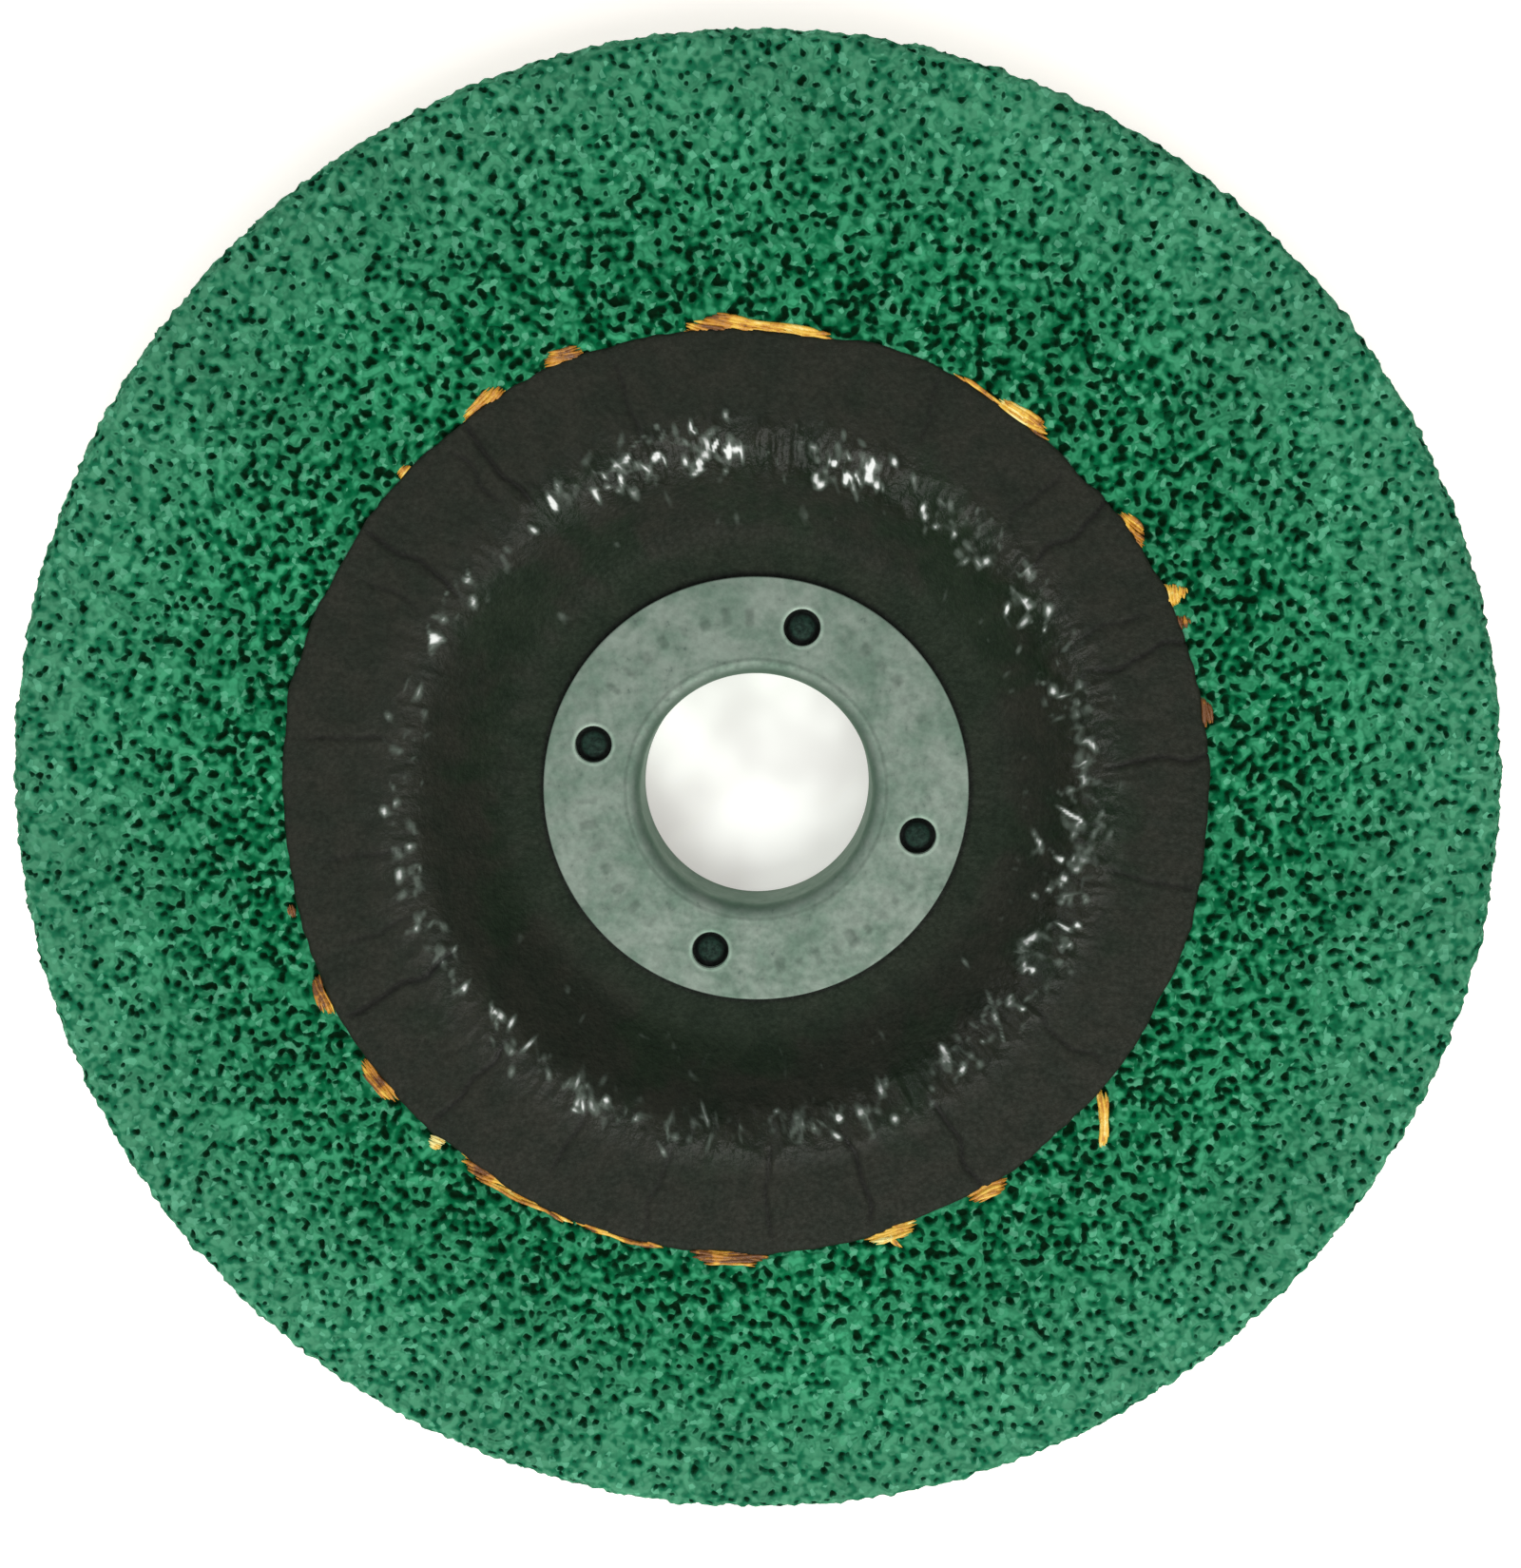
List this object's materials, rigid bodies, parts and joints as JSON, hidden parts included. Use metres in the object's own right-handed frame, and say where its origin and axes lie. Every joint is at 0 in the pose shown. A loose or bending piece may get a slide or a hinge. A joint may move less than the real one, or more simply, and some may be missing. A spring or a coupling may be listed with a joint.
{
  "type": "angle grinder grinding wheel",
  "caption": "Depressed-centre bonded abrasive wheel for an angle grinder: green grain, glass-fibre nets, black paper over the recess and a pressed steel ring in the bore.",
  "frame": {"origin": "on the spindle axis, in the plane of the hub's back face, on which the wheel lies", "axes": "+Z along the spindle axis, from the hub's back face towards the working face and the open side of the recess; X and Y are equal, because the wheel is round"},
  "size_m": [0.1, 0.1, 0.0106],
  "materials": {
    "centre_ring": "satin",
    "front_paper": "satin",
    "hub_net": "satin",
    "abrasive_front": "matte",
    "middle_net": "satin",
    "abrasive_back": "matte",
    "back_net": "satin",
    "back_label": "matte"
  },
  "bodies": {
    "root": {"centre_ring": "centre_ring", "front_paper": "front_paper", "hub_net": "hub_net", "abrasive_front": "abrasive_front", "middle_net": "middle_net", "abrasive_back": "abrasive_back", "back_net": "back_net", "back_label": "back_label"}
  },
  "joints": []
}
